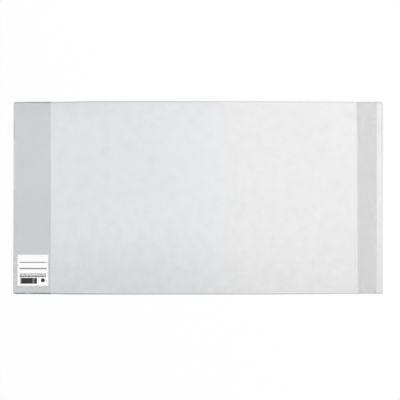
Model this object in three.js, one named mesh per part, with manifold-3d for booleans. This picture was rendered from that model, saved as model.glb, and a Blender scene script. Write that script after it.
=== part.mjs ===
import * as THREE from 'three';
import { mergeVertices } from 'three/addons/utils/BufferGeometryUtils.js';
import Module from 'manifold-3d';

// Clear plastic book cover, unfolded and lying on its outer side, in millimetres.
// +X runs along the cover from the pocket to the turn-in flap, +Y up the page, +Z towards the book.
// The origin is under the middle of the sheet.

// The whole sheet
const coverLength = 450;
const coverHeight = 234;
const filmThickness = 0.12;
const leftCornerRadius = 2.4;
const topRightCornerRadius = 3.6;
const bottomRightCornerRadius = 2;

// Where a book folds the sheet, measured from the pocket end
const frontWidth = 170;
const spineWidth = 16;
const backWidth = 168;

// Pocket: the sheet's end folded over the front panel and welded at top and bottom
const pocketDepth = 45.8;
const layerGap = 0.3;
const weldWidth = 1.8;
const weldClearance = 0.3;

// Strap: a second strip of film, welded on at its two ends only
const strapTopWidth = 24.8;
const strapBottomWidth = 23.9;
const strapTopMargin = 7.9;
const strapBottomMargin = 7.3;

// Paper label stuck on the pocket
const labelWidth = 37;
const labelHeight = 37.7;
const labelThickness = 0.1;
const labelCornerRadius = 0.8;
const labelFromLeft = 5.5;
const labelFromBottom = 10.3;

// Smoothness of round corners and of the fold
const arcSegments = 8;

// Places worked out from the sizes above
const foldInnerRadius = layerGap / 2;
const foldOuterRadius = foldInnerRadius + filmThickness;
const leftEdge = -coverLength / 2;
const rightEdge = coverLength / 2;
const bottomEdge = -coverHeight / 2;
const topEdge = coverHeight / 2;
const pocketFoldLine = leftEdge + foldOuterRadius;
const frontFoldLine = pocketFoldLine + frontWidth;
const backFoldLine = frontFoldLine + spineWidth;
const flapFoldLine = backFoldLine + backWidth;
const pocketMouth = leftEdge + pocketDepth;
const topWeldEdge = topEdge - weldWidth;
const bottomWeldEdge = bottomEdge + weldWidth;
const topLayerHeight = filmThickness + layerGap;
const labelHeightAboveTable = topLayerHeight + filmThickness;

// Finishes
const filmMaterial = () => new THREE.MeshStandardMaterial({
  color: '#c3c8ce',
  roughness: 0.22,
  metalness: 0,
  transparent: true,
  opacity: 0.4,
});
const strapMaterial = () => new THREE.MeshStandardMaterial({
  color: '#b9bec5',
  roughness: 0.24,
  metalness: 0,
  transparent: true,
  opacity: 0.45,
});
const weldMaterial = () => new THREE.MeshStandardMaterial({
  color: '#9ba0a6',
  roughness: 0.42,
  metalness: 0,
  transparent: true,
  opacity: 0.6,
});
const labelMaterial = () => new THREE.MeshStandardMaterial({
  color: '#fbfbfa',
  roughness: 0.7,
  metalness: 0,
});

const manifold = await Module();
manifold.setup();

// A closed geometry as a solid that can be cut
function toSolid(geometry) {
  const bare = geometry.clone();
  bare.deleteAttribute('normal');
  bare.deleteAttribute('uv');
  const merged = mergeVertices(bare);
  return new manifold.Manifold(new manifold.Mesh({
    numProp: 3,
    vertProperties: new Float32Array(merged.attributes.position.array),
    triVerts: new Uint32Array(merged.index.array),
  }));
}

// A cut solid back as a geometry with its own normals
function toGeometry(solid) {
  const mesh = solid.getMesh();
  const geometry = new THREE.BufferGeometry();
  geometry.setAttribute('position', new THREE.BufferAttribute(mesh.vertProperties, mesh.numProp));
  geometry.setIndex(new THREE.BufferAttribute(mesh.triVerts, 1));
  const flatShaded = geometry.toNonIndexed();
  flatShaded.computeVertexNormals();
  return flatShaded;
}

// A rectangle in the plane of the sheet whose corners may be round
function roundedOutline(left, right, bottom, top, corners) {
  const outline = new THREE.Shape();
  outline.moveTo(left, bottom + corners.bottomLeft);
  outline.lineTo(left, top - corners.topLeft);
  outline.absarc(left + corners.topLeft, top - corners.topLeft, corners.topLeft, Math.PI, Math.PI / 2, true);
  outline.lineTo(right - corners.topRight, top);
  outline.absarc(right - corners.topRight, top - corners.topRight, corners.topRight, Math.PI / 2, 0, true);
  outline.lineTo(right, bottom + corners.bottomRight);
  outline.absarc(
    right - corners.bottomRight,
    bottom + corners.bottomRight,
    corners.bottomRight,
    0,
    -Math.PI / 2,
    true,
  );
  outline.lineTo(left + corners.bottomLeft, bottom);
  outline.absarc(
    left + corners.bottomLeft,
    bottom + corners.bottomLeft,
    corners.bottomLeft,
    -Math.PI / 2,
    -Math.PI,
    true,
  );
  return outline;
}

function plate(outline, thickness) {
  return new THREE.ExtrudeGeometry(outline, {
    depth: thickness,
    bevelEnabled: false,
    curveSegments: arcSegments,
  });
}

// The flat sheet before it is parted: everything to the right of the pocket's fold
function wholeSheet(thickness) {
  const outline = roundedOutline(pocketFoldLine, rightEdge, bottomEdge, topEdge, {
    topLeft: leftCornerRadius,
    bottomLeft: leftCornerRadius,
    topRight: topRightCornerRadius,
    bottomRight: bottomRightCornerRadius,
  });
  return plate(outline, thickness);
}

// The part of a sheet that lies inside an outline
function cutFromSheet(outline, thickness) {
  const sheet = toSolid(wholeSheet(thickness));
  const cutter = toSolid(plate(outline, thickness));
  return toGeometry(sheet.intersect(cutter));
}

function rectangle(left, right, bottom, top) {
  const outline = new THREE.Shape();
  outline.moveTo(left, bottom);
  outline.lineTo(right, bottom);
  outline.lineTo(right, top);
  outline.lineTo(left, top);
  return outline;
}

function named(name, geometry, material) {
  const mesh = new THREE.Mesh(geometry, material);
  mesh.name = name;
  return mesh;
}

// A region of the one sheet, from fold line to fold line
function sheetPanel(name, left, right) {
  const geometry = cutFromSheet(rectangle(left, right, bottomEdge, topEdge), filmThickness);
  return named(name, geometry, filmMaterial());
}

// The half-round bend where the sheet turns back over itself
function pocketFold() {
  const length = coverHeight - leftCornerRadius * 2;
  const section = new THREE.Shape();
  section.absarc(0, 0, foldOuterRadius, Math.PI / 2, Math.PI * 3 / 2, false);
  section.absarc(0, 0, foldInnerRadius, Math.PI * 3 / 2, Math.PI / 2, true);
  const geometry = new THREE.ExtrudeGeometry(section, {
    depth: length,
    bevelEnabled: false,
    curveSegments: arcSegments,
  });
  geometry.rotateX(Math.PI / 2);
  const fold = named('pocket_fold', geometry, filmMaterial());
  fold.position.set(pocketFoldLine, length / 2, foldOuterRadius);
  return fold;
}

// The upper layer of the pocket, free of the welds so that its mouth can lift
function pocketFlap() {
  const outline = rectangle(
    pocketFoldLine,
    pocketMouth,
    bottomWeldEdge + weldClearance,
    topWeldEdge - weldClearance,
  );
  const flap = named('pocket_flap', cutFromSheet(outline, filmThickness), filmMaterial());
  flap.position.z = topLayerHeight;
  return flap;
}

// Both layers of the pocket melted together along one edge of the sheet
function pocketWeld(name, bottom, top) {
  const thickness = layerGap + filmThickness;
  const geometry = cutFromSheet(rectangle(pocketFoldLine, pocketMouth, bottom, top), thickness);
  const weld = named(name, geometry, weldMaterial());
  weld.position.z = filmThickness;
  return weld;
}

// A size of the strap at a height on the sheet, between its bottom end and its top end
function alongStrap(y, atBottom, atTop) {
  return THREE.MathUtils.lerp(atBottom, atTop, (y - bottomEdge) / coverHeight);
}

function strapRightEdgeAt(y) {
  return rightEdge - alongStrap(y, strapBottomMargin, strapTopMargin);
}

function strapLeftEdgeAt(y) {
  return strapRightEdgeAt(y) - alongStrap(y, strapBottomWidth, strapTopWidth);
}

// The strap lies a little askew, so both of its long edges lean
function strapOutline(bottom, top) {
  const outline = new THREE.Shape();
  outline.moveTo(strapLeftEdgeAt(bottom), bottom);
  outline.lineTo(strapRightEdgeAt(bottom), bottom);
  outline.lineTo(strapRightEdgeAt(top), top);
  outline.lineTo(strapLeftEdgeAt(top), top);
  return outline;
}

// The strap between its welds, lying just above the sheet
function strapBand() {
  const outline = strapOutline(bottomWeldEdge + weldClearance, topWeldEdge - weldClearance);
  const band = named('strap', cutFromSheet(outline, filmThickness), strapMaterial());
  band.position.z = topLayerHeight;
  return band;
}

// One end of the strap melted on to the edge of the sheet
function strapWeld(name, bottom, top) {
  const geometry = cutFromSheet(strapOutline(bottom, top), layerGap + filmThickness);
  const weld = named(name, geometry, weldMaterial());
  weld.position.z = filmThickness;
  return weld;
}

function paperLabel() {
  const outline = roundedOutline(0, labelWidth, 0, labelHeight, {
    topLeft: labelCornerRadius,
    bottomLeft: labelCornerRadius,
    topRight: labelCornerRadius,
    bottomRight: labelCornerRadius,
  });
  const label = named('label', plate(outline, labelThickness), labelMaterial());
  label.position.set(leftEdge + labelFromLeft, bottomEdge + labelFromBottom, labelHeightAboveTable);
  return label;
}

const pocket = new THREE.Group();
pocket.add(pocketFold());
pocket.add(pocketWeld('pocket_top_weld', topWeldEdge, topEdge));
pocket.add(pocketWeld('pocket_bottom_weld', bottomEdge, bottomWeldEdge));
pocket.add(pocketFlap());
pocket.add(paperLabel());

const frontCover = new THREE.Group();
frontCover.add(sheetPanel('front_panel', pocketFoldLine, frontFoldLine));
frontCover.add(pocket);

const turnIn = new THREE.Group();
turnIn.add(sheetPanel('back_flap', flapFoldLine, rightEdge));
turnIn.add(strapWeld('strap_top_weld', topWeldEdge, topEdge));
turnIn.add(strapWeld('strap_bottom_weld', bottomEdge, bottomWeldEdge));
turnIn.add(strapBand());

const bookCover = new THREE.Group();
bookCover.add(frontCover);
bookCover.add(sheetPanel('spine_panel', frontFoldLine, backFoldLine));
bookCover.add(sheetPanel('back_panel', backFoldLine, flapFoldLine));
bookCover.add(turnIn);

export default bookCover;
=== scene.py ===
import math

import bpy
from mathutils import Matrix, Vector


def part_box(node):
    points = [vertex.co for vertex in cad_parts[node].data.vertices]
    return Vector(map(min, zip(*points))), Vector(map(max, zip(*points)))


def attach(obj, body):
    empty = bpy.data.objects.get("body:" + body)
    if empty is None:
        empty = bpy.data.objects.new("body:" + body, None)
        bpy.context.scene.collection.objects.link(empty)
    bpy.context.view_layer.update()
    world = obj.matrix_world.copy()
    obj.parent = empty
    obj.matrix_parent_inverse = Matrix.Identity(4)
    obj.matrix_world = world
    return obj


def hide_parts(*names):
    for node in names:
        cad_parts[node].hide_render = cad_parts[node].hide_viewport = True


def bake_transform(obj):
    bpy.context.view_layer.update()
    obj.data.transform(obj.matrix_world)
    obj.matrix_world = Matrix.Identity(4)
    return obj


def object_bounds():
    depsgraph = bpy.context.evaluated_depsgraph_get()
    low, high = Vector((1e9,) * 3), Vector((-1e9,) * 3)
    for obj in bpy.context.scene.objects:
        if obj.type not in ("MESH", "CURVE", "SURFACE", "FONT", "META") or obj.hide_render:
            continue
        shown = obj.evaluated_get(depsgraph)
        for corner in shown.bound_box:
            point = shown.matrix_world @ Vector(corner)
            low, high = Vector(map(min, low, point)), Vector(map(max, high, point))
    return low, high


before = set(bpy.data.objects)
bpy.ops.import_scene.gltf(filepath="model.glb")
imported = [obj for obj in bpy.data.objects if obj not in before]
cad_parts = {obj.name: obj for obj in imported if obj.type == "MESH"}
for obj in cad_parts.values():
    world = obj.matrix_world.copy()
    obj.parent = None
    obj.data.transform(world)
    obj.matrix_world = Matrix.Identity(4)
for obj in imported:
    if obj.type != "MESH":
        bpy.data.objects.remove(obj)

cad_low, cad_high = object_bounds()


# The camera looks straight down on the open cover, which lies square in the picture.
# The edges of the sheet in the photograph, in its pixels, give the scale and the centre.
MM = 0.001
sheet_left = cad_low.x
sheet_right = cad_high.x
sheet_bottom = cad_low.y
sheet_top = cad_high.y
picture_px = 400
picture_middle_px = picture_px / 2
left_edge_px, right_edge_px = 13.35, 382.95
top_edge_px, bottom_edge_px = 101.85, 294.05
metres_per_px = (sheet_right - sheet_left) / (right_edge_px - left_edge_px)
lens_mm, sensor_mm = 100, 36

bpy.ops.object.select_all(action="DESELECT")
bpy.ops.object.camera_add(
    location=(
        (picture_middle_px - (left_edge_px + right_edge_px) / 2) * metres_per_px,
        ((top_edge_px + bottom_edge_px) / 2 - picture_middle_px) * metres_per_px,
        picture_px * metres_per_px * lens_mm / sensor_mm,
    ),
    rotation=(0, 0, 0),
)
camera = bpy.context.object
camera.data.lens = lens_mm
camera.data.sensor_width = sensor_mm
camera.data.clip_end = 20
bpy.context.scene.camera = camera


# The sheet: clear soft PVC about 0.12 mm thick, cut from a roll, lying with its inner side up.
# A book folds it beside its spine and at its back board's fore edge, so the one cut sheet is parted
# into three lengths that meet on flat film, and each length spans one fold.
film_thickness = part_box("back_panel")[1].z
front_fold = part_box("front_panel")[1].x
back_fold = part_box("back_panel")[0].x
flap_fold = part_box("back_flap")[0].x
bend_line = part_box("front_panel")[0].x
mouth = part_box("pocket_flap")[1].x
strap_top_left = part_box("strap_top_weld")[0].x
strap_bottom_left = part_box("strap_bottom_weld")[0].x
strap_top_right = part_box("strap_top_weld")[1].x
strap_bottom_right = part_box("strap_bottom_weld")[1].x
spine_middle = (front_fold + back_fold) / 2
back_middle = (back_fold + flap_fold) / 2
left_corner_radius = 2.8 * MM
top_right_corner_radius = 4.4 * MM
bottom_right_corner_radius = 2 * MM
grid_step = 4 * MM
fold_reach = 1.2 * MM
turn_in_reach = 2.2 * MM
fold_steps = 12
rim_step = 0.58 * MM
rim_rings = 3
rim_width = rim_rings * rim_step
rim_tolerance = rim_step / 20
rim_swelling = 1.5
joining_distance = 0.001 * MM


def only(piece):
    """Selects this piece and nothing else."""
    bpy.ops.object.select_all(action="DESELECT")
    piece.select_set(True)
    bpy.context.view_layer.objects.active = piece


def select_places(piece, kind, chosen):
    """In edit mode, selects the vertices or faces whose middle is where chosen says."""
    bpy.ops.mesh.select_mode(type=kind)
    bpy.ops.mesh.select_all(action="DESELECT")
    bpy.ops.object.mode_set(mode="OBJECT")
    if kind == "VERT":
        for vertex in piece.data.vertices:
            vertex.select = chosen(vertex.co)
    else:
        for face in piece.data.polygons:
            face.select = chosen(face.center)
    bpy.ops.object.mode_set(mode="EDIT")


def film_blank(name, left, right, bottom, top, height):
    """A flat blank of film, one face, lying at a height."""
    bpy.ops.object.select_all(action="DESELECT")
    middle = ((left + right) / 2, (bottom + top) / 2, height)
    bpy.ops.mesh.primitive_plane_add(size=1, location=middle)
    piece = bpy.context.object
    piece.name = name
    piece.data.name = name
    bpy.ops.object.mode_set(mode="EDIT")
    bpy.ops.transform.resize(value=(right - left, top - bottom, 1))
    bpy.ops.object.mode_set(mode="OBJECT")
    bpy.ops.object.transform_apply(location=True, rotation=False, scale=False)
    return piece


def round_corner(piece, x, y, radius, segments=6):
    """Rounds the one corner of a blank that is at x, y."""
    only(piece)
    bpy.ops.object.mode_set(mode="EDIT")
    select_places(
        piece,
        "VERT",
        lambda at: abs(at.x - x) < joining_distance and abs(at.y - y) < joining_distance,
    )
    bpy.ops.mesh.bevel(affect="VERTICES", offset=radius, segments=segments, profile=0.5)
    bpy.ops.object.mode_set(mode="OBJECT")


def cut_lines(piece, across=(), up=()):
    """Cuts a blank along lines at these x and these y, so that it can bend there."""
    only(piece)
    bpy.ops.object.mode_set(mode="EDIT")
    bpy.ops.mesh.select_mode(type="VERT")
    for normal, places in (((1, 0, 0), across), ((0, 1, 0), up)):
        for place in places:
            bpy.ops.mesh.select_all(action="SELECT")
            bpy.ops.mesh.bisect(plane_co=Vector(normal) * place, plane_no=normal)
    bpy.ops.object.mode_set(mode="OBJECT")


def part_between(whole, name, left, right):
    """A copy of a piece with only what lies between two lines across it."""
    only(whole)
    bpy.ops.object.duplicate()
    piece = bpy.context.object
    piece.name = name
    piece.data.name = name
    bpy.ops.object.mode_set(mode="EDIT")
    for place, side in ((left, {"clear_inner": True}), (right, {"clear_outer": True})):
        bpy.ops.mesh.select_all(action="SELECT")
        bpy.ops.mesh.bisect(plane_co=(place, 0, 0), plane_no=(1, 0, 0), **side)
    bpy.ops.object.mode_set(mode="OBJECT")
    return piece


def steps_between(low, high, step):
    """Places about a step apart, strictly between low and high."""
    count = max(1, round((high - low) / step))
    return [low + (high - low) * i / count for i in range(1, count)]


def give_thickness(piece, thickness):
    """Turns a blank into film of this thickness, standing on the blank."""
    only(piece)
    modifier = piece.modifiers.new("thickness", "SOLIDIFY")
    modifier.thickness = thickness
    modifier.offset = 1
    bpy.ops.object.modifier_apply(modifier=modifier.name)


def mark_places(piece):
    """Writes each point's place on the flat film, in metres, as the piece's own UV map."""
    mesh = piece.data
    for layer in list(mesh.uv_layers):
        mesh.uv_layers.remove(layer)
    flat_places = mesh.uv_layers.new(name="flat_film").data
    for loop in mesh.loops:
        flat_places[loop.index].uv = mesh.vertices[loop.vertex_index].co.xy


def ease(value, start, end):
    """Goes smoothly from 0 at start to 1 at end."""
    share = min(1, max(0, (value - start) / (end - start)))
    return share * share * (3 - 2 * share)


top_bow, top_bow_lost_outwards = 1.2 * MM, 0.42 * MM
top_shrunk_by_pocket, top_shrunk_by_strap = 0.85 * MM, 0.52 * MM
bottom_bow, bottom_bow_lost_to_right = 0.85 * MM, 1.7 * MM
bottom_shrunk_by_pocket, bottom_corner_spread = 0.8 * MM, 0.25 * MM
shrinking_starts = mouth - 12 * MM
top_shrinking_ends, bottom_shrinking_ends = mouth + 60 * MM, mouth + 30 * MM
strap_shrinking_starts, strap_shrinking_full = 0.17, 0.195


def bow_of_edges(x, y):
    """How far the sheet swells beyond straight edges. The welds have shrunk it a little."""
    if y > 0:
        beside_pocket = 1 - ease(x, shrinking_starts, top_shrinking_ends)
        beside_strap = ease(x, strap_shrinking_starts, strap_shrinking_full)
        beside_strap *= 1 - 0.5 * ease(x, 0.214, 0.221)
        bow = top_bow - top_bow_lost_outwards * ((x + 0.01) / sheet_right) ** 2
        bow -= top_shrunk_by_pocket * beside_pocket + top_shrunk_by_strap * beside_strap
    else:
        beside_pocket = 1 - ease(x, shrinking_starts, bottom_shrinking_ends)
        bow = bottom_bow - bottom_bow_lost_to_right * (max(0, x - 0.04) / sheet_right) ** 2
        bow += bottom_corner_spread * ease(x, 0.213, 0.221) - bottom_shrunk_by_pocket * beside_pocket
    return y / sheet_top * bow


long_wave_height, cross_wave_height, ripple_height = 0.16 * MM, 0.1 * MM, 0.05 * MM


def height_of_waves(x, y):
    """The low waves that film keeps from the roll, never below the table. Their lengths are in metres."""
    turn = 2 * math.pi
    long_wave = math.sin(turn * (x / 0.17 + y / 0.52) + 0.4)
    cross_wave = math.sin(turn * (y / 0.115 - x / 0.36) + 1.9)
    ripples = math.sin(turn * (x / 0.061 + y / 0.083)) * math.sin(turn * y / 0.07 + x * 9)
    height = long_wave_height * (1 + long_wave) + cross_wave_height * (1 + cross_wave)
    return height + ripple_height * (1 + ripples)


edge_curl_width = 5.5 * MM
edge_curl_height = 0.5 * MM


def curl_of_right_edge(x):
    """The sheet's cut right edge turns up a little."""
    start = sheet_right - edge_curl_width
    return edge_curl_height * max(0, (x - start) / (sheet_right - start)) ** 2


lean_of_both_ends, right_end_lean, left_foot_lean = 0.12 * MM, 0.2 * MM, 0.28 * MM


def lean_of_ends(x, y):
    """How far the two ends are out of square."""
    up = y / sheet_top
    if x > 0:
        return lean_of_both_ends * up + right_end_lean * up * x / sheet_right
    return lean_of_both_ends * up + left_foot_lean * min(0, up) ** 2 * x / sheet_right


def lay_down(piece):
    """Lets a piece lie as the whole cover does: bowed edges, leaning ends and low waves."""
    for vertex in piece.data.vertices:
        x, y = vertex.co.x, vertex.co.y
        vertex.co.x += lean_of_ends(x, y)
        vertex.co.y += bow_of_edges(x, y)
        vertex.co.z += height_of_waves(x, y) + curl_of_right_edge(x)
    piece.data.update()


def smooth(piece, sharp_angle=40):
    """Round surfaces shade smoothly and cut edges stay crisp."""
    only(piece)
    bpy.ops.object.shade_smooth_by_angle(angle=math.radians(sharp_angle))


class Tone:
    """A value, colour or vector inside a finish. Sums and products of values add their Math nodes."""

    def __init__(self, finish, socket):
        self.finish = finish
        self.socket = socket

    def math(self, operation, first, second=0.0):
        return self.finish.node("ShaderNodeMath", {"operation": operation}, {0: first, 1: second})

    def __add__(self, other):
        return self.math("ADD", self, other)

    __radd__ = __add__

    def __sub__(self, other):
        return self.math("SUBTRACT", self, other)

    def __rsub__(self, other):
        return self.math("SUBTRACT", other, self)

    def __mul__(self, other):
        return self.math("MULTIPLY", self, other)

    __rmul__ = __mul__

    def __abs__(self):
        return self.math("ABSOLUTE", self)


class Finish:
    """The node tree of a material or of the world."""

    def __init__(self, holder):
        holder.use_nodes = True
        self.holder = holder
        self.tree = holder.node_tree
        self.tree.nodes.clear()

    def node(self, kind, settings, inputs, out=0):
        """Adds a node, sets it, feeds its sockets with values or tones, and returns one output."""
        made = self.tree.nodes.new(kind)
        for name, value in settings.items():
            setattr(made, name, value)
        for name, value in inputs.items():
            if isinstance(value, Tone):
                self.tree.links.new(value.socket, made.inputs[name])
            else:
                made.inputs[name].default_value = value
        return Tone(self, made.outputs[out]) if made.outputs else None

    def flat_place(self):
        """Where a point is on the flat film, in metres."""
        return self.node("ShaderNodeUVMap", {"uv_map": "flat_film"}, {})

    def flat_x(self):
        return self.node("ShaderNodeSeparateXYZ", {}, {0: self.flat_place()}, out="X")

    def flat_y(self):
        return self.node("ShaderNodeSeparateXYZ", {}, {0: self.flat_place()}, out="Y")

    def fade(self, value, start, end):
        """Goes smoothly from 0 where the value is start to 1 where it is end."""
        return self.node(
            "ShaderNodeMapRange",
            {"interpolation_type": "SMOOTHSTEP"},
            {"Value": value, "From Min": start, "From Max": end},
        )

    def line(self, distance, half_width):
        """A soft line where the distance is 0."""
        return self.fade(abs(distance), half_width, 0.0)

    def noise(self, scale, detail=2.0):
        """Soft noise, with this many spots to the metre."""
        return self.node(
            "ShaderNodeTexNoise",
            {},
            {"Vector": self.flat_place(), "Scale": scale, "Detail": detail},
            out="Fac",
        )

    def blend(self, share, first, second):
        """A mix of two colours."""
        return self.node(
            "ShaderNodeMix", {"data_type": "RGBA"}, {0: share, 6: first, 7: second}, out=2
        )

    def dents(self, height, distance):
        """A surface normal dented by a height, in shares of a distance in metres."""
        return self.node("ShaderNodeBump", {}, {"Height": height, "Distance": distance}, out="Normal")

    def shade(self, inputs):
        """Ends a material in one surface."""
        surface = self.node("ShaderNodeBsdfPrincipled", {}, inputs)
        self.node("ShaderNodeOutputMaterial", {}, {"Surface": surface})
        return self.holder


left_colour_until, right_colour_from = -0.09, 0.12
mark_and_shade_colour = (0.12, 0.13, 0.14, 1)
dimple_depth = 0.8 * MM
film_ior = 1.9


def clear_film(name, colours, opacity, roughness, marks=None, thin=None):
    """Soft PVC: a little milky, glossy, with shallow dimples. marks darken it, as real marks and as painted
    shade, and thin clears it, as real thinning and as painted highlight.
    """
    finish = Finish(bpy.data.materials.new(name))
    clouds = finish.noise(16, detail=3)
    dimples = finish.noise(48, detail=1.5)
    grain = finish.noise(900)
    left_colour, right_colour = colours
    # The colour changes from left to right across the cover; in the sheet's colours that change is partly
    # painted shade.
    colour = finish.blend(finish.fade(finish.flat_x(), left_colour_until, right_colour_from), left_colour, right_colour)
    alpha = opacity + 0.03 * (clouds - 0.5)
    if thin:
        alpha = alpha * (1 - thin(finish))
    if marks:
        dark = marks(finish)
        colour = finish.blend(dark, colour, mark_and_shade_colour)
        alpha = alpha + 0.14 * dark
    return finish.shade({
        "Base Color": colour,
        "Roughness": roughness + 0.1 * (grain - 0.5),
        "Alpha": alpha,
        "Normal": finish.dents(dimples + 0.03 * grain, dimple_depth),
        "IOR": film_ior,
    })


# The sheet film's colours, left and right: bluer at the left, the film's own tint, and darker at the left,
# painted shade where less lamp light falls.
film_tint_and_left_shade = ((0.455, 0.479, 0.516, 1), (0.535, 0.527, 0.54, 1))
film_opacity = 0.25
film_roughness = 0.3
low_shade_top, low_shade_full = -0.02, sheet_bottom - 13 * MM
strap_edge_softness = 0.5 * MM
mouth_softness = 1 * MM
crease_from_right_edge = 1.85 * MM
second_crease_from_right_edge = 4.2 * MM


def sheet_marks_and_shade(finish):
    """Painted shade on the open film, darker towards the bottom and the left, with haze and mottling, and
    painted shade along creases by the right edge. Places are in metres.
    """
    x, y = finish.flat_x(), finish.flat_y()
    lean = (strap_top_left - strap_bottom_left) / (sheet_top - sheet_bottom)
    upright = x - lean * (y - sheet_bottom)
    past_left = finish.fade(upright, strap_bottom_left, strap_bottom_left + strap_edge_softness)
    before_right = finish.fade(upright, strap_bottom_right + strap_edge_softness, strap_bottom_right)
    past_mouth = finish.fade(x, mouth - mouth_softness, mouth + mouth_softness)
    bare = past_mouth * (1 - past_left * before_right)
    # Painted shade: the open film is darker towards the bottom, most at the left and least at the far right,
    # where less lamp light falls.
    left, far_right = finish.fade(x, 0.09, -0.06), finish.fade(x, 0.08, 0.19)
    low_shade_strength = 0.16 + 0.2 * left - 0.06 * far_right
    painted_low_shade = finish.fade(y, low_shade_top, low_shade_full) * bare * low_shade_strength
    beside_pocket = finish.fade(x, -0.04, -0.14)
    middle = finish.fade(x, -0.1, -0.02) * finish.fade(x, 0.12, 0.03)
    top_haze = finish.fade(y, 0.085, 0.125) * bare * (0.14 * beside_pocket + 0.08 * middle)
    smudges = finish.fade(finish.noise(26, detail=2.5), 0.6, 0.75) * bare * 0.08
    mottling = (finish.noise(75, detail=3) - 0.5) * bare * 0.3
    from_edge = sheet_right - x
    upper, lower = finish.fade(y, 0.05, 0.065), finish.fade(y, 0.01, -0.02)
    # Painted shade: two dark lines along creases near the right edge, standing in for the shading of their
    # ridges.
    crease_shade_lines = (
        finish.line(from_edge - crease_from_right_edge, 0.85 * MM) * (0.25 + 0.3 * upper)
        + finish.line(from_edge - second_crease_from_right_edge, 0.75 * MM) * lower * 0.25
    )
    from_top = sheet_top - y
    top_right_corner = finish.fade(from_edge, 9 * MM, 7.5 * MM) * finish.fade(from_top, 3.8 * MM, 2.6 * MM)
    return painted_low_shade + top_haze + smudges + mottling + crease_shade_lines + top_right_corner * 0.4


corner_starts, corner_full = 0.2205, 0.2235


def near_corner(finish):
    """Near the sheet's four corners, where its dark lines are weaker."""
    return finish.fade(abs(finish.flat_x()), corner_starts, corner_full)


def rim_line_and_shade(finish):
    """The line inside the cut edge: partly the cut edge's own darkness, partly painted shade, painted
    darkest at the left and along the bottom.
    """
    side = finish.fade(finish.flat_x(), -0.2, 0.2)
    bottom = finish.fade(finish.flat_y(), 0.0, -0.1)
    near_pocket = finish.fade(finish.flat_x(), -0.09, -0.16)
    right_end = finish.fade(finish.flat_x(), 0.212, 0.217)
    line = 0.66 - 0.3 * side + bottom * (0.25 + 0.4 * near_pocket + 0.3 * right_end)
    return line * (1 - 0.6 * near_corner(finish))


sheet_film = clear_film("clear_film", film_tint_and_left_shade, film_opacity, film_roughness, marks=sheet_marks_and_shade)
rim_film = clear_film("cut_edge_and_shade", film_tint_and_left_shade, film_opacity, film_roughness, marks=rim_line_and_shade)

whole_sheet = film_blank("whole_sheet", bend_line, sheet_right, sheet_bottom, sheet_top, 0)
corners = [
    (bend_line, sheet_bottom, left_corner_radius),
    (bend_line, sheet_top, left_corner_radius),
    (sheet_right, sheet_bottom, bottom_right_corner_radius),
    (sheet_right, sheet_top, top_right_corner_radius),
]
for corner_x, corner_y, corner_radius in corners:
    round_corner(whole_sheet, corner_x, corner_y, corner_radius)
only(whole_sheet)
bpy.ops.object.mode_set(mode="EDIT")
bpy.ops.mesh.select_mode(type="FACE")
bpy.ops.mesh.select_all(action="SELECT")
for ring in range(rim_rings):
    bpy.ops.mesh.inset(thickness=rim_step)
bpy.ops.object.mode_set(mode="OBJECT")


def inside_by(at):
    """How far a place lies inside the sheet's cut outline. Its folded left end isn't cut."""
    straight = min(sheet_right - at.x, sheet_top - at.y, at.y - sheet_bottom)
    for x, y, radius in corners:
        side_x, side_y = math.copysign(1, x), math.copysign(1, y)
        past_x = (at.x - (x - side_x * radius)) * side_x
        past_y = (at.y - (y - side_y * radius)) * side_y
        if past_x > 0 and past_y > 0:
            straight = min(straight, radius - math.hypot(past_x, past_y))
    return straight


def is_edge_line_and_shade(at):
    """The dark line just inside the cut edge, partly painted shade, at the top, the bottom and the corners.
    """
    beside_right_edge = at.x > sheet_right - rim_width and abs(at.y) < sheet_top - top_right_corner_radius
    return rim_step < inside_by(at) < rim_width and not beside_right_edge


def swell_line(piece, on_line, middle_height):
    """Makes the film thicker along a line, as where a cut edge has melted a little."""
    only(piece)
    bpy.ops.object.mode_set(mode="EDIT")
    select_places(piece, "VERT", on_line)
    bpy.ops.transform.resize(value=(1, 1, rim_swelling), center_override=(0, 0, middle_height))
    bpy.ops.object.mode_set(mode="OBJECT")


def paint_faces(piece, finishes, chosen):
    """Gives the piece two finishes: the second one where chosen says."""
    for finish in finishes:
        piece.data.materials.append(finish)
    for face in piece.data.polygons:
        face.material_index = 1 if chosen(face.center) else 0


def sheet_length(name, left, right, fold, reach, more_columns=()):
    """One length of the sheet, which spans one fold and is cut closely as far as reach on both sides of it.
    """
    piece = part_between(whole_sheet, name, left, right)
    columns = steps_between(left, right, grid_step)
    columns += [fold + reach * (2 * i / fold_steps - 1) for i in range(fold_steps + 1)]
    columns += more_columns
    cut_lines(piece, columns, steps_between(sheet_bottom, sheet_top, grid_step))
    give_thickness(piece, film_thickness)
    mark_places(piece)
    swell_line(
        piece,
        lambda at: abs(inside_by(at) - rim_step) < rim_tolerance,
        film_thickness / 2,
    )
    paint_faces(piece, (sheet_film, rim_film), is_edge_line_and_shade)
    lay_down(piece)
    smooth(piece)
    return piece


sheet_front = sheet_length("sheet_front", bend_line, spine_middle, front_fold, fold_reach)
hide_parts("front_panel", "spine_panel")
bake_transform(sheet_front)

sheet_back = sheet_length("sheet_back", spine_middle, back_middle, back_fold, fold_reach)
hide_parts("back_panel")
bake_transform(sheet_back)

curled_strip = 7 * MM
curl_step = 1 * MM
right_edge_columns = steps_between(sheet_right - curled_strip, sheet_right, curl_step)
sheet_turn_in = sheet_length(
    "sheet_turn_in", back_middle, sheet_right, flap_fold, turn_in_reach, right_edge_columns
)
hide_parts("back_flap")
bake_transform(sheet_turn_in)
bpy.data.objects.remove(whole_sheet)


# The bend at the left end, where the sheet turns back over itself to make the pocket.
# It is the same film, creased to a half round, and made less see-through and less glossy there.
layer_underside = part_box("pocket_flap")[0].z
bend_radius = (layer_underside - film_thickness) / 2 + film_thickness
bend_half_length = sheet_top - left_corner_radius
bend_steps = 8

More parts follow.
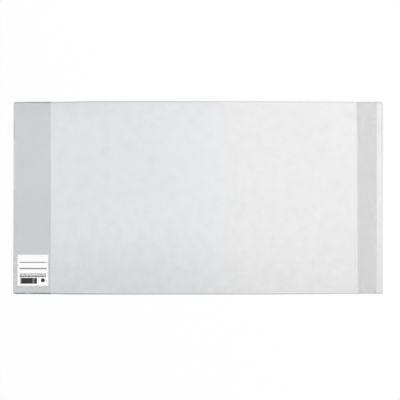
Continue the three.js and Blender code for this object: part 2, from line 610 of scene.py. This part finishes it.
bpy.ops.object.select_all(action="DESELECT")
bpy.ops.mesh.primitive_plane_add(size=1, location=(0, 0, 0))
pocket_bend = bpy.context.object
pocket_bend.name = "pocket_bend"
bpy.ops.object.mode_set(mode="EDIT")
bpy.ops.transform.resize(value=(film_thickness, bend_half_length * 2, 1))
bpy.ops.transform.rotate(value=math.pi / 2, orient_axis="Y", center_override=(0, 0, 0))
bpy.ops.transform.translate(value=(bend_line, 0, film_thickness / 2))
bpy.ops.object.mode_set(mode="OBJECT")
cut_lines(pocket_bend, up=steps_between(-bend_half_length, bend_half_length, grid_step))
only(pocket_bend)
bpy.ops.object.mode_set(mode="EDIT")
bpy.ops.mesh.select_all(action="SELECT")
bpy.ops.mesh.spin(steps=bend_steps, angle=math.pi, center=(bend_line, 0, bend_radius), axis=(0, 1, 0))
bpy.ops.mesh.select_all(action="SELECT")
bpy.ops.mesh.remove_doubles(threshold=joining_distance)
bpy.ops.mesh.normals_make_consistent(inside=False)
bpy.ops.object.mode_set(mode="OBJECT")
bend_film = clear_film("bend_film", film_tint_and_left_shade, opacity=0.4, roughness=0.4)
pocket_bend.data.materials.append(bend_film)
mark_places(pocket_bend)
lay_down(pocket_bend)
smooth(pocket_bend)
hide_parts("pocket_fold")
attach(pocket_bend, "front")


# The pocket's upper layer: the folded-over end of the sheet, held down by a weld at each end.
# Its mouth, at the right, is a free cut edge. It is made in two halves, each bending from its weld
# towards the middle, so that the mouth lifts and the welded ends stay down.
weld_inner_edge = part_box("pocket_top_weld")[0].y
weld_dip_reach = 5 * MM
weld_dip_share = 0.8
weld_rows_reach = 6 * MM
weld_row_step = 1 * MM
mouth_rest_lift = 0.35 * MM
lip_line = 0.3 * MM
lip_width = 0.6 * MM
lip_tolerance = 0.03 * MM
bend_crease_columns = (0.7 * MM, 1.8 * MM)
# Painted light: the upper layers are the same film as the sheet, given lighter colours than the sheet's at
# the left for the light that they get.
upper_colours_painted_lighter = ((0.53, 0.543, 0.558, 1), (0.53, 0.53, 0.53, 1))
upper_roughness = 0.45


def pocket_marks(finish):
    """A faint dark line along the mouth's lower half, and a short pinch near the top of the bend."""
    x, y = finish.flat_x(), finish.flat_y()
    pinch = finish.fade(y, 0.073, 0.077) * finish.fade(y, 0.097, 0.093)
    return (
        finish.line(x - (mouth - 2.2 * MM), 1.6 * MM) * finish.fade(y, 0.03, -0.03) * 0.1
        + finish.line(x - (bend_line + 0.9 * MM), 0.8 * MM) * pinch * 0.4
    )


def pocket_thin_and_highlight(finish):
    """Clears the film: a painted highlight along a part of the bend's crease, where the rounder fold catches
    light, the mouth near its top, and the upper part a little.
    """
    x, y = finish.flat_x(), finish.flat_y()
    highlight_span = finish.fade(y, 0.004, 0.014) * finish.fade(y, 0.073, 0.068)
    lip = finish.fade(x, mouth - 1.8 * MM, mouth) * finish.fade(y, 0.045, 0.065)
    upper_part = finish.fade(y, -0.02, 0.03) * finish.fade(y, 0.108, 0.095)
    # Painted highlight: the crease next to the bend is made clearer where its rounder fold would catch the
    # light.
    crease = finish.line(x - (bend_line + 0.8 * MM), 1.3 * MM) * highlight_span
    return 0.95 * crease + 0.35 * lip + 0.12 * upper_part


upper_film = clear_film(
    "pocket_film",
    upper_colours_painted_lighter,
    film_opacity,
    upper_roughness,
    marks=pocket_marks,
    thin=pocket_thin_and_highlight,
)


def sag_to_weld(piece):
    """Lets an upper layer come down towards the sheet where it is welded."""
    for vertex in piece.data.vertices:
        from_weld = weld_inner_edge - abs(vertex.co.y)
        share = max(0, 1 - from_weld / weld_dip_reach)
        vertex.co.z -= (layer_underside - film_thickness) * weld_dip_share * share ** 2
    piece.data.update()


def open_mouth_a_little(piece):
    """The middle of the mouth stands a little off the sheet."""
    for vertex in piece.data.vertices:
        across = max(0, (vertex.co.x - bend_line) / (mouth - bend_line))
        along = math.cos(math.pi / 2 * min(1, abs(vertex.co.y) / weld_inner_edge))
        vertex.co.z += mouth_rest_lift * across ** 2 * along
    piece.data.update()


def rows_to_weld(bottom, top):
    """Places to cut an upper layer across, close together near the weld that ends it."""
    if top > 0:
        near_weld = steps_between(top - weld_rows_reach, top, weld_row_step)
    else:
        near_weld = steps_between(bottom, bottom + weld_rows_reach, weld_row_step)
    return steps_between(bottom, top, grid_step) + near_weld


def lift_from_weld(piece):
    """Bakes the piece's place into its mesh, where it lies."""
    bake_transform(piece)


def pocket_layer(name, bottom, top):
    """Half of the pocket's upper layer, from the middle of the cover to one weld."""
    piece = film_blank(name, bend_line, mouth, bottom, top, layer_underside)
    columns = steps_between(bend_line, mouth, grid_step)
    columns += [mouth - lip_width, mouth - lip_line]
    columns += [bend_line + column for column in bend_crease_columns]
    cut_lines(piece, columns, rows_to_weld(bottom, top))
    give_thickness(piece, film_thickness)
    mark_places(piece)
    swell_line(
        piece,
        lambda at: abs(at.x - mouth + lip_line) < lip_tolerance,
        layer_underside + film_thickness / 2,
    )
    piece.data.materials.append(upper_film)
    sag_to_weld(piece)
    open_mouth_a_little(piece)
    lay_down(piece)
    smooth(piece)
    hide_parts("pocket_flap")
    lift_from_weld(piece)
    return piece


pocket_layer_top = pocket_layer("pocket_layer_top", 0, weld_inner_edge)
pocket_layer_bottom = pocket_layer("pocket_layer_bottom", -weld_inner_edge, 0)


# The pocket's two welds: heated bars have melted both layers together along the sheet's edge.
# Each seam is a flat band beside a dark melted bead, with the bars' fine cross ribs.
rib_pitch = 1 * MM
rib_height = 0.03 * MM
bead_width = 1.2 * MM
seam_row_step = 0.3 * MM
pressed_share, bead_share, inner_edge_share = 0.42, 0.35, 0.3
bead_gap_place, bead_gap_half_width = -0.206, 6 * MM


def bead_marks_and_shade(finish):
    """The melted bead is dark, unevenly so, and paler towards the bend; painted shade makes the lower bead
    darker still. The lower one has a gap.
    """
    x = finish.flat_x()
    bottom = finish.fade(finish.flat_y(), 0.0, -0.1)
    near_mouth = finish.fade(x, -0.215, -0.2)
    uneven = 0.5 * (finish.noise(55) - 0.5)
    to_bend = 0.15 * finish.fade(x, -0.196, -0.206) + 0.45 * finish.fade(x, -0.211, -0.213)
    pale_top = (1 - bottom) * to_bend
    pale_bottom = bottom * finish.line(x - bead_gap_place, bead_gap_half_width) * 1.3
    # Painted shade: the lower bead is darker than the upper, more so away from the bend.
    bead = 0.8 + uneven + bottom * (0.3 + near_mouth)
    return (bead - pale_top - pale_bottom) * (1 - 0.7 * near_corner(finish))


bead_film = clear_film("melted_bead", upper_colours_painted_lighter, opacity=0.33, roughness=0.35, marks=bead_marks_and_shade)


def weld_seam(name, left, right, side, corner_radius, finishes):
    """One seam along the top edge (side 1) or the bottom edge (side -1)."""
    inner, outer = sorted((weld_inner_edge * side, sheet_top * side))
    piece = film_blank(name, left, right, inner, outer, film_thickness)
    if corner_radius:
        round_corner(piece, left, sheet_top * side, corner_radius)
    rows = steps_between(inner, outer, seam_row_step) + [side * (sheet_top - bead_width)]
    cut_lines(piece, steps_between(left, right, rib_pitch / 2), rows)
    give_thickness(piece, layer_underside)
    mark_places(piece)
    width = sheet_top - weld_inner_edge
    for vertex in piece.data.vertices:
        if vertex.co.z > film_thickness + joining_distance:
            inward = min(1, max(0, (sheet_top - abs(vertex.co.y)) / width))
            bead = math.sin(math.pi * min(1, inward * width / bead_width)) ** 2
            rib = round((vertex.co.x - left) / (rib_pitch / 2)) % 2
            share = pressed_share + bead_share * bead + inner_edge_share * ease(inward, 0.75, 1)
            vertex.co.z = film_thickness + layer_underside * share
            vertex.co.z += rib_height * rib * math.sin(math.pi * inward)
    paint_faces(piece, finishes, lambda at: abs(at.y) > sheet_top - bead_width)
    lay_down(piece)
    smooth(piece, sharp_angle=50)
    return piece


pocket_seams = (upper_film, bead_film)
pocket_seam_top = weld_seam("pocket_seam_top", bend_line, mouth, 1, left_corner_radius, pocket_seams)
pocket_seam_bottom = weld_seam("pocket_seam_bottom", bend_line, mouth, -1, left_corner_radius, pocket_seams)
for seam, layer, node in (
    (pocket_seam_top, pocket_layer_top, "pocket_top_weld"),
    (pocket_seam_bottom, pocket_layer_bottom, "pocket_bottom_weld"),
):
    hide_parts(node)
    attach(seam, "front")


# The strap: a second strip of the same film near the right end, welded on at its two ends only.
# The back board goes under it. It lies a little askew, and its left edge turns up.
strap_lip = 3 * MM
strap_lip_rise = 0.35 * MM
strap_lip_step = 0.6 * MM
strap_column_step = 3 * MM
lip_shadow_place, lip_shadow_half_width = 3.2 * MM, 1.1 * MM
lip_clear_from, lip_clear_full = 2.9 * MM, -0.6 * MM


def strap_lip_shadow(finish):
    """A thin painted shadow line where the turned-up lip begins."""
    across = finish.flat_x() - strap_top_left
    below_top = finish.fade(finish.flat_y(), 0.1, 0.092)
    sharper = finish.fade(finish.flat_y(), 0.058, 0.068)
    shadow = finish.line(across - lip_shadow_place, lip_shadow_half_width)
    return shadow * below_top * (0.1 + 0.2 * sharper)


def strap_lip_highlight(finish):
    """The lip is made clearer towards its edge: a painted highlight where the curled lip catches the light.
    """
    across = finish.flat_x() - strap_top_left
    below_top = finish.fade(finish.flat_y(), 0.1, 0.088)
    return finish.fade(across, lip_clear_from, lip_clear_full) * below_top * 0.75


strap_film = clear_film(
    "strap_film",
    upper_colours_painted_lighter,
    film_opacity,
    upper_roughness,
    marks=strap_lip_shadow,
    thin=strap_lip_highlight,
)


def lean_like_strap(piece, left, right):
    """Moves each vertex of a straight band to where the strap's leaning edges put it."""
    for vertex in piece.data.vertices:
        up = (vertex.co.y - sheet_bottom) / (sheet_top - sheet_bottom)
        new_left = strap_bottom_left + (strap_top_left - strap_bottom_left) * up
        new_right = strap_bottom_right + (strap_top_right - strap_bottom_right) * up
        across = (vertex.co.x - left) / (right - left)
        vertex.co.x = new_left + (new_right - new_left) * across
    piece.data.update()


def strap_half(name, bottom, top):
    """Half of the strap, from the middle of the cover to one weld."""
    left, right = strap_top_left, strap_top_right
    piece = film_blank(name, left, right, bottom, top, layer_underside)
    columns = steps_between(left + strap_lip, right, strap_column_step)
    columns += steps_between(left, left + strap_lip, strap_lip_step)
    columns += [left + strap_lip, left + lip_line, right - lip_line, right - lip_width]
    cut_lines(piece, columns, rows_to_weld(bottom, top))
    give_thickness(piece, film_thickness)
    mark_places(piece)
    swell_line(
        piece,
        lambda at: abs(min(at.x - left, right - at.x) - lip_line) < lip_tolerance,
        layer_underside + film_thickness / 2,
    )
    piece.data.materials.append(strap_film)
    for vertex in piece.data.vertices:
        lip = max(0, 1 - (vertex.co.x - left) / strap_lip)
        along = math.cos(math.pi / 2 * min(1, abs(vertex.co.y) / weld_inner_edge)) ** 0.5
        vertex.co.z += strap_lip_rise * lip ** 2 * along
    lean_like_strap(piece, left, right)
    sag_to_weld(piece)
    lay_down(piece)
    smooth(piece)
    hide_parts("strap")
    lift_from_weld(piece)
    return piece


strap_upper = strap_half("strap_upper_half", 0, weld_inner_edge)
strap_lower = strap_half("strap_lower_half", -weld_inner_edge, 0)


# The strap's two welds: its ends melted on to the sheet's edges by heated bars, as on the pocket.
# They are paler than the pocket's and have no dark bead.
seam_end_opacity = 0.55 * film_opacity


def seam_end_marks(finish):
    """A slight unevenness."""
    return 0.06 * finish.noise(90)


seam_end_film = clear_film(
    "strap_seam_end", upper_colours_painted_lighter, seam_end_opacity, upper_roughness, marks=seam_end_marks
)
strap_seams = (strap_film, seam_end_film)
strap_seam_top = weld_seam("strap_seam_top", strap_top_left, strap_top_right, 1, 0, strap_seams)
strap_seam_bottom = weld_seam("strap_seam_bottom", strap_bottom_left, strap_bottom_right, -1, 0, strap_seams)
for seam, half, node in (
    (strap_seam_top, strap_upper, "strap_top_weld"),
    (strap_seam_bottom, strap_lower, "strap_bottom_weld"),
):
    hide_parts(node)
    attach(seam, "turn_in")


# The label: smooth white paper with adhesive on its back, stuck low on the pocket.
# Its print is plain: two rules, rows of short rules, a block of bars and a dot of ink.
# The paper is a little wider than the solid that it stands for.
label_low, label_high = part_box("label")
label_extra_width = 0.35 * MM
label_high.x += label_extra_width
label_corner_radius = 0.8 * MM
label_thickness = label_high.z - label_low.z

# left, right, bottom and top of the print from the label's lower left corner, in mm
grey_print = [
    (2.4, 32.6, 27.72, 28.95),
    (32.6, 36.5, 27.9, 28.7),
    (2.4, 35.4, 20.05, 21.65),
]


def broken_rule(left, right, bottom, top, lengths, gap):
    """Short rules one after another, as far as the right end."""
    pieces = []
    x = left
    while x < right:
        end = min(right, x + lengths[len(pieces) % len(lengths)])
        pieces.append((x, end, bottom, top))
        x = end + gap
    return pieces


rules_left, rules_right = 2.6, 34.8
# bottom and top of each row of short rules, their lengths, and the gap between them, in mm
rule_rows = (
    (14.45, 14.95, (3.4, 5.1, 2.2, 4.3), 0.5),
    (13.2, 13.7, (4.6, 2.7, 3.6), 0.5),
    (11.95, 12.5, (3.1, 5.6, 4.1), 0.5),
    (10.5, 11.6, (5.2, 3.1, 4.4, 2.4), 0.4),
)
black_print = []
for rule_row in rule_rows:
    black_print += broken_rule(rules_left, rules_right, *rule_row)

bar_left = 3.5
bar_bottom, bar_top = 2.35, 9.45
# width of each bar and the gap after it, in mm
bars = (
    (0.75, 0.22),
    (2.9, 0.03),
    (2.3, 0.03),
    (3.2, 0.03),
    (1.2, 0.03),
    (1.2, 0.03),
    (1.2, 0.03),
    (1.95, 0.18),
    (0.72, 0.15),
    (0.5, 0.12),
    (3.4, 0),
)
for bar_width, bar_gap in bars:
    black_print.append((bar_left, bar_left + bar_width, bar_bottom, bar_top))
    bar_left += bar_width + bar_gap
dot_middle = (30.85, 6.55)
dot_radius = 2.45
ink_thickness = 0.01 * MM
fibre_depth = 0.03 * MM

paper = Finish(bpy.data.materials.new("label_paper"))
fibres = paper.noise(1500, detail=3)
label_paper = paper.shade({
    "Base Color": paper.blend(paper.noise(60), (0.955, 0.955, 0.95, 1), (0.97, 0.97, 0.965, 1)),
    "Roughness": 0.6 + 0.1 * (fibres - 0.5),
    "Normal": paper.dents(fibres, fibre_depth),
})


ink_ior = 1.35


def grey(level):
    """A colour without a tint."""
    return level, level, level, 1


def printing_ink(name, lightest, darkest):
    """Ink on paper, a little uneven."""
    ink = Finish(bpy.data.materials.new(name))
    return ink.shade({
        "Base Color": ink.blend(ink.noise(700), grey(lightest), grey(darkest)),
        "Roughness": 0.6 + 0.1 * (ink.noise(1500) - 0.5),
        "IOR": ink_ior,
    })


black_ink = printing_ink("black_ink", 0.04, 0.018)
grey_ink = printing_ink("grey_ink", 0.275, 0.25)

label = film_blank("paper_label", label_low.x, label_high.x, label_low.y, label_high.y, label_low.z)
for corner_x in (label_low.x, label_high.x):
    for corner_y in (label_low.y, label_high.y):
        round_corner(label, corner_x, corner_y, label_corner_radius)


def on_label(box):
    """A printed box in metres on the cover."""
    left, right, bottom, top = (side * MM for side in box)
    return label_low.x + left, label_low.x + right, label_low.y + bottom, label_low.y + top


grey_boxes = [on_label(box) for box in grey_print]
black_boxes = [on_label(box) for box in black_print]
print_columns = {x for box in grey_boxes + black_boxes for x in box[:2]}
print_rows = {y for box in grey_boxes + black_boxes for y in box[2:]}
print_columns |= set(steps_between(label_low.x, label_high.x, grid_step))
print_rows |= set(steps_between(label_low.y, label_high.y, grid_step))
cut_lines(label, sorted(print_columns), sorted(print_rows))
give_thickness(label, label_thickness)
for finish in (label_paper, black_ink, grey_ink):
    label.data.materials.append(finish)
for face in label.data.polygons:
    at = face.center
    if at.z > label_high.z - label_thickness / 4:
        for index, boxes in ((1, black_boxes), (2, grey_boxes)):
            if any(left < at.x < right and bottom < at.y < top for left, right, bottom, top in boxes):
                face.material_index = index

bpy.ops.object.select_all(action="DESELECT")
bpy.ops.mesh.primitive_cylinder_add(
    vertices=24,
    radius=dot_radius * MM,
    depth=ink_thickness,
    location=(
        label_low.x + dot_middle[0] * MM,
        label_low.y + dot_middle[1] * MM,
        label_high.z + ink_thickness / 2,
    ),
)
dot = bpy.context.object
bpy.ops.object.mode_set(mode="EDIT")
bpy.ops.mesh.select_all(action="DESELECT")
select_places(dot, "FACE", lambda at: at.z > ink_thickness / 4)
bpy.ops.mesh.bevel(affect="EDGES", offset=ink_thickness / 3, segments=2)
bpy.ops.object.mode_set(mode="OBJECT")
bpy.ops.object.transform_apply(location=True, rotation=False, scale=False)
paint_faces(dot, (label_paper, black_ink), lambda at: True)
label.select_set(True)
bpy.context.view_layer.objects.active = label
bpy.ops.object.join()
mark_places(label)
open_mouth_a_little(label)
lay_down(label)
smooth(label)
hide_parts("label")
lift_from_weld(label)


# The floor is a plain white table top, seen as white, that still takes the cover's soft shadow.
# The light is a soft studio: an even room and one wide lamp overhead at the right.
floor_depth = 0.1 * MM
floor_size = 12
floor_shadow_share = 0.1
room_strength = 0.78
lamp_place = (0.52, 0.3, 1.3)
lamp_width, lamp_height = 1.1, 0.9
lamp_watts = 7.5

bpy.ops.object.select_all(action="DESELECT")
bpy.ops.mesh.primitive_plane_add(size=floor_size, location=(0, 0, -floor_depth))
table_top = bpy.context.object
table_top.name = "table_top"


def ray_is(finish, kind):
    """1 where a surface is met by a ray of this kind, such as Camera, and else 0."""
    return finish.node("ShaderNodeLightPath", {}, {}, out=f"Is {kind} Ray")


floor = Finish(bpy.data.materials.new("white_table"))
seen = ray_is(floor, "Camera") + ray_is(floor, "Glossy") + ray_is(floor, "Transmission")
lit = floor.node("ShaderNodeBsdfDiffuse", {}, {"Color": grey(0.9)})
white = floor.node("ShaderNodeEmission", {}, {"Color": grey(1), "Strength": 1.0})
table_look = floor.node("ShaderNodeMixShader", {}, {0: seen * (1 - floor_shadow_share), 1: lit, 2: white})
floor.node("ShaderNodeOutputMaterial", {}, {"Surface": table_look})
table_top.data.materials.append(floor.holder)

world = bpy.data.worlds.new("studio_room")
bpy.context.scene.world = world
room = Finish(world)
room_light = room.node("ShaderNodeBackground", {}, {"Color": grey(1), "Strength": room_strength})
room_white = room.node("ShaderNodeBackground", {}, {"Color": grey(1), "Strength": 1.0})
room_look = room.node("ShaderNodeMixShader", {}, {0: ray_is(room, "Camera"), 1: room_light, 2: room_white})
room.node("ShaderNodeOutputWorld", {}, {"Surface": room_look})

bpy.ops.object.select_all(action="DESELECT")
bpy.ops.object.light_add(type="AREA", location=lamp_place)
lamp = bpy.context.object
lamp.name = "wide_lamp"
lamp.data.shape = "RECTANGLE"
lamp.data.size = lamp_width
lamp.data.size_y = lamp_height
lamp.data.energy = lamp_watts
lamp.visible_camera = False

bpy.context.scene.view_settings.view_transform = "Standard"
bpy.context.scene.cycles.transparent_max_bounces = 32
